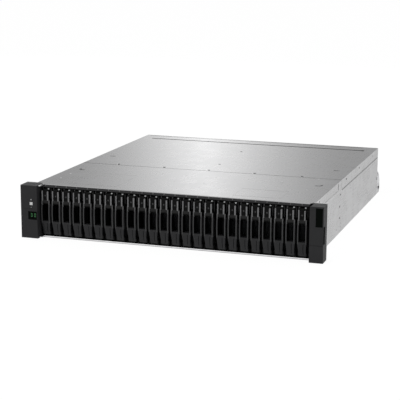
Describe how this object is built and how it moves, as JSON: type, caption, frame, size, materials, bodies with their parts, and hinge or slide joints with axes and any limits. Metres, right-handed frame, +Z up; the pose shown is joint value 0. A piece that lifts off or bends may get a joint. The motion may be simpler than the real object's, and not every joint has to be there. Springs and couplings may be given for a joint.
{
  "type": "rack storage enclosure",
  "caption": "Rack-mount all-flash storage enclosure with a front row of pull-out drives on cam handles, two stacked controller canisters and two power supplies at the rear.",
  "frame": {"origin": "centre of the footprint, on the underside of the base pan; the front-to-back extent runs from the end caps' front to the rear levers", "axes": "+Z up, -Y out of the drive front, +X to the right seen from the front"},
  "size_m": [0.4826, 0.5452, 0.0848],
  "materials": {
    "galvanised_steel": "galvanised sheet",
    "galvanised_cover": "galvanised sheet",
    "black_steel": "black coat",
    "circuit_board": "solder mask",
    "cap_plastic": "fine texture",
    "canister_steel": "galvanised sheet",
    "lever_metal": "satin",
    "carrier_body": "black coat",
    "handle_plastic": "satin moulded"
  },
  "bodies": {
    "enclosure": {"base_pan": "galvanised_steel", "top_covers": "galvanised_cover", "drive_cage": "black_steel", "midplane": "circuit_board", "left_end_cap": "cap_plastic", "right_end_cap": "cap_plastic"},
    "drive_01": {"drive_carrier_01": "carrier_body"},
    "handle_01": {"drive_handle_01": "handle_plastic"},
    "drive_02": {"drive_carrier_02": "carrier_body"},
    "handle_02": {"drive_handle_02": "handle_plastic"},
    "drive_03": {"drive_carrier_03": "carrier_body"},
    "handle_03": {"drive_handle_03": "handle_plastic"},
    "drive_04": {"drive_carrier_04": "carrier_body"},
    "handle_04": {"drive_handle_04": "handle_plastic"},
    "drive_05": {"drive_carrier_05": "carrier_body"},
    "handle_05": {"drive_handle_05": "handle_plastic"},
    "drive_06": {"drive_carrier_06": "carrier_body"},
    "handle_06": {"drive_handle_06": "handle_plastic"},
    "drive_07": {"drive_carrier_07": "carrier_body"},
    "handle_07": {"drive_handle_07": "handle_plastic"},
    "drive_08": {"drive_carrier_08": "carrier_body"},
    "handle_08": {"drive_handle_08": "handle_plastic"},
    "drive_09": {"drive_carrier_09": "carrier_body"},
    "handle_09": {"drive_handle_09": "handle_plastic"},
    "drive_10": {"drive_carrier_10": "carrier_body"},
    "handle_10": {"drive_handle_10": "handle_plastic"},
    "drive_11": {"drive_carrier_11": "carrier_body"},
    "handle_11": {"drive_handle_11": "handle_plastic"},
    "drive_12": {"drive_carrier_12": "carrier_body"},
    "handle_12": {"drive_handle_12": "handle_plastic"},
    "drive_13": {"drive_carrier_13": "carrier_body"},
    "handle_13": {"drive_handle_13": "handle_plastic"},
    "drive_14": {"drive_carrier_14": "carrier_body"},
    "handle_14": {"drive_handle_14": "handle_plastic"},
    "drive_15": {"drive_carrier_15": "carrier_body"},
    "handle_15": {"drive_handle_15": "handle_plastic"},
    "drive_16": {"drive_carrier_16": "carrier_body"},
    "handle_16": {"drive_handle_16": "handle_plastic"},
    "drive_17": {"drive_carrier_17": "carrier_body"},
    "handle_17": {"drive_handle_17": "handle_plastic"},
    "drive_18": {"drive_carrier_18": "carrier_body"},
    "handle_18": {"drive_handle_18": "handle_plastic"},
    "drive_19": {"drive_carrier_19": "carrier_body"},
    "handle_19": {"drive_handle_19": "handle_plastic"},
    "drive_20": {"drive_carrier_20": "carrier_body"},
    "handle_20": {"drive_handle_20": "handle_plastic"},
    "drive_21": {"drive_carrier_21": "carrier_body"},
    "handle_21": {"drive_handle_21": "handle_plastic"},
    "drive_22": {"drive_carrier_22": "carrier_body"},
    "handle_22": {"drive_handle_22": "handle_plastic"},
    "drive_23": {"drive_carrier_23": "carrier_body"},
    "handle_23": {"drive_handle_23": "handle_plastic"},
    "drive_24": {"drive_carrier_24": "carrier_body"},
    "handle_24": {"drive_handle_24": "handle_plastic"},
    "controller_lower": {"controller_lower": "canister_steel"},
    "controller_upper": {"controller_upper": "canister_steel"},
    "power_supply_right": {"power_supply_right": "canister_steel"},
    "power_supply_left": {"power_supply_left": "canister_steel"},
    "power_lever_right": {"power_lever_right": "lever_metal"},
    "power_lever_left": {"power_lever_left": "lever_metal"}
  },
  "joints": [
    {"name": "drive_01_slide", "type": "slide", "parent": "enclosure", "child": "drive_01", "axis": [0, -1, 0], "range_m": [0, 0.165]},
    {"name": "handle_01_hinge", "type": "hinge", "parent": "drive_01", "child": "handle_01", "pos_m": [-0.20355, -0.256, 0.0079], "axis": [1, 0, 0], "range_deg": [0, 60]},
    {"name": "drive_02_slide", "type": "slide", "parent": "enclosure", "child": "drive_02", "axis": [0, -1, 0], "range_m": [0, 0.165]},
    {"name": "handle_02_hinge", "type": "hinge", "parent": "drive_02", "child": "handle_02", "pos_m": [-0.18585, -0.256, 0.0079], "axis": [1, 0, 0], "range_deg": [0, 60]},
    {"name": "drive_03_slide", "type": "slide", "parent": "enclosure", "child": "drive_03", "axis": [0, -1, 0], "range_m": [0, 0.165]},
    {"name": "handle_03_hinge", "type": "hinge", "parent": "drive_03", "child": "handle_03", "pos_m": [-0.16815, -0.256, 0.0079], "axis": [1, 0, 0], "range_deg": [0, 60]},
    {"name": "drive_04_slide", "type": "slide", "parent": "enclosure", "child": "drive_04", "axis": [0, -1, 0], "range_m": [0, 0.165]},
    {"name": "handle_04_hinge", "type": "hinge", "parent": "drive_04", "child": "handle_04", "pos_m": [-0.15045, -0.256, 0.0079], "axis": [1, 0, 0], "range_deg": [0, 60]},
    {"name": "drive_05_slide", "type": "slide", "parent": "enclosure", "child": "drive_05", "axis": [0, -1, 0], "range_m": [0, 0.165]},
    {"name": "handle_05_hinge", "type": "hinge", "parent": "drive_05", "child": "handle_05", "pos_m": [-0.13275, -0.256, 0.0079], "axis": [1, 0, 0], "range_deg": [0, 60]},
    {"name": "drive_06_slide", "type": "slide", "parent": "enclosure", "child": "drive_06", "axis": [0, -1, 0], "range_m": [0, 0.165]},
    {"name": "handle_06_hinge", "type": "hinge", "parent": "drive_06", "child": "handle_06", "pos_m": [-0.11505, -0.256, 0.0079], "axis": [1, 0, 0], "range_deg": [0, 60]},
    {"name": "drive_07_slide", "type": "slide", "parent": "enclosure", "child": "drive_07", "axis": [0, -1, 0], "range_m": [0, 0.165]},
    {"name": "handle_07_hinge", "type": "hinge", "parent": "drive_07", "child": "handle_07", "pos_m": [-0.09735, -0.256, 0.0079], "axis": [1, 0, 0], "range_deg": [0, 60]},
    {"name": "drive_08_slide", "type": "slide", "parent": "enclosure", "child": "drive_08", "axis": [0, -1, 0], "range_m": [0, 0.165]},
    {"name": "handle_08_hinge", "type": "hinge", "parent": "drive_08", "child": "handle_08", "pos_m": [-0.07965, -0.256, 0.0079], "axis": [1, 0, 0], "range_deg": [0, 60]},
    {"name": "drive_09_slide", "type": "slide", "parent": "enclosure", "child": "drive_09", "axis": [0, -1, 0], "range_m": [0, 0.165]},
    {"name": "handle_09_hinge", "type": "hinge", "parent": "drive_09", "child": "handle_09", "pos_m": [-0.06015, -0.256, 0.0079], "axis": [1, 0, 0], "range_deg": [0, 60]},
    {"name": "drive_10_slide", "type": "slide", "parent": "enclosure", "child": "drive_10", "axis": [0, -1, 0], "range_m": [0, 0.165]},
    {"name": "handle_10_hinge", "type": "hinge", "parent": "drive_10", "child": "handle_10", "pos_m": [-0.04245, -0.256, 0.0079], "axis": [1, 0, 0], "range_deg": [0, 60]},
    {"name": "drive_11_slide", "type": "slide", "parent": "enclosure", "child": "drive_11", "axis": [0, -1, 0], "range_m": [0, 0.165]},
    {"name": "handle_11_hinge", "type": "hinge", "parent": "drive_11", "child": "handle_11", "pos_m": [-0.02475, -0.256, 0.0079], "axis": [1, 0, 0], "range_deg": [0, 60]},
    {"name": "drive_12_slide", "type": "slide", "parent": "enclosure", "child": "drive_12", "axis": [0, -1, 0], "range_m": [0, 0.165]},
    {"name": "handle_12_hinge", "type": "hinge", "parent": "drive_12", "child": "handle_12", "pos_m": [-0.00705, -0.256, 0.0079], "axis": [1, 0, 0], "range_deg": [0, 60]},
    {"name": "drive_13_slide", "type": "slide", "parent": "enclosure", "child": "drive_13", "axis": [0, -1, 0], "range_m": [0, 0.165]},
    {"name": "handle_13_hinge", "type": "hinge", "parent": "drive_13", "child": "handle_13", "pos_m": [0.01065, -0.256, 0.0079], "axis": [1, 0, 0], "range_deg": [0, 60]},
    {"name": "drive_14_slide", "type": "slide", "parent": "enclosure", "child": "drive_14", "axis": [0, -1, 0], "range_m": [0, 0.165]},
    {"name": "handle_14_hinge", "type": "hinge", "parent": "drive_14", "child": "handle_14", "pos_m": [0.02835, -0.256, 0.0079], "axis": [1, 0, 0], "range_deg": [0, 60]},
    {"name": "drive_15_slide", "type": "slide", "parent": "enclosure", "child": "drive_15", "axis": [0, -1, 0], "range_m": [0, 0.165]},
    {"name": "handle_15_hinge", "type": "hinge", "parent": "drive_15", "child": "handle_15", "pos_m": [0.04605, -0.256, 0.0079], "axis": [1, 0, 0], "range_deg": [0, 60]},
    {"name": "drive_16_slide", "type": "slide", "parent": "enclosure", "child": "drive_16", "axis": [0, -1, 0], "range_m": [0, 0.165]},
    {"name": "handle_16_hinge", "type": "hinge", "parent": "drive_16", "child": "handle_16", "pos_m": [0.06375, -0.256, 0.0079], "axis": [1, 0, 0], "range_deg": [0, 60]},
    {"name": "drive_17_slide", "type": "slide", "parent": "enclosure", "child": "drive_17", "axis": [0, -1, 0], "range_m": [0, 0.165]},
    {"name": "handle_17_hinge", "type": "hinge", "parent": "drive_17", "child": "handle_17", "pos_m": [0.08325, -0.256, 0.0079], "axis": [1, 0, 0], "range_deg": [0, 60]},
    {"name": "drive_18_slide", "type": "slide", "parent": "enclosure", "child": "drive_18", "axis": [0, -1, 0], "range_m": [0, 0.165]},
    {"name": "handle_18_hinge", "type": "hinge", "parent": "drive_18", "child": "handle_18", "pos_m": [0.10095, -0.256, 0.0079], "axis": [1, 0, 0], "range_deg": [0, 60]},
    {"name": "drive_19_slide", "type": "slide", "parent": "enclosure", "child": "drive_19", "axis": [0, -1, 0], "range_m": [0, 0.165]},
    {"name": "handle_19_hinge", "type": "hinge", "parent": "drive_19", "child": "handle_19", "pos_m": [0.11865, -0.256, 0.0079], "axis": [1, 0, 0], "range_deg": [0, 60]},
    {"name": "drive_20_slide", "type": "slide", "parent": "enclosure", "child": "drive_20", "axis": [0, -1, 0], "range_m": [0, 0.165]},
    {"name": "handle_20_hinge", "type": "hinge", "parent": "drive_20", "child": "handle_20", "pos_m": [0.13635, -0.256, 0.0079], "axis": [1, 0, 0], "range_deg": [0, 60]},
    {"name": "drive_21_slide", "type": "slide", "parent": "enclosure", "child": "drive_21", "axis": [0, -1, 0], "range_m": [0, 0.165]},
    {"name": "handle_21_hinge", "type": "hinge", "parent": "drive_21", "child": "handle_21", "pos_m": [0.15405, -0.256, 0.0079], "axis": [1, 0, 0], "range_deg": [0, 60]},
    {"name": "drive_22_slide", "type": "slide", "parent": "enclosure", "child": "drive_22", "axis": [0, -1, 0], "range_m": [0, 0.165]},
    {"name": "handle_22_hinge", "type": "hinge", "parent": "drive_22", "child": "handle_22", "pos_m": [0.17175, -0.256, 0.0079], "axis": [1, 0, 0], "range_deg": [0, 60]},
    {"name": "drive_23_slide", "type": "slide", "parent": "enclosure", "child": "drive_23", "axis": [0, -1, 0], "range_m": [0, 0.165]},
    {"name": "handle_23_hinge", "type": "hinge", "parent": "drive_23", "child": "handle_23", "pos_m": [0.18945, -0.256, 0.0079], "axis": [1, 0, 0], "range_deg": [0, 60]},
    {"name": "drive_24_slide", "type": "slide", "parent": "enclosure", "child": "drive_24", "axis": [0, -1, 0], "range_m": [0, 0.165]},
    {"name": "handle_24_hinge", "type": "hinge", "parent": "drive_24", "child": "handle_24", "pos_m": [0.20715, -0.256, 0.0079], "axis": [1, 0, 0], "range_deg": [0, 60]},
    {"name": "controller_lower_slide", "type": "slide", "parent": "enclosure", "child": "controller_lower", "axis": [0, 1, 0], "range_m": [0, 0.31]},
    {"name": "controller_upper_slide", "type": "slide", "parent": "enclosure", "child": "controller_upper", "axis": [0, 1, 0], "range_m": [0, 0.31]},
    {"name": "power_supply_right_slide", "type": "slide", "parent": "enclosure", "child": "power_supply_right", "axis": [0, 1, 0], "range_m": [0, 0.31]},
    {"name": "power_supply_left_slide", "type": "slide", "parent": "enclosure", "child": "power_supply_left", "axis": [0, 1, 0], "range_m": [0, 0.31]},
    {"name": "power_lever_right_hinge", "type": "hinge", "parent": "power_supply_right", "child": "power_lever_right", "pos_m": [0.2168, 0.2398, 0.0374], "axis": [1, 0, 0], "range_deg": [0, 75]},
    {"name": "power_lever_left_hinge", "type": "hinge", "parent": "power_supply_left", "child": "power_lever_left", "pos_m": [-0.2168, 0.2398, 0.0374], "axis": [1, 0, 0], "range_deg": [0, 75]}
  ]
}
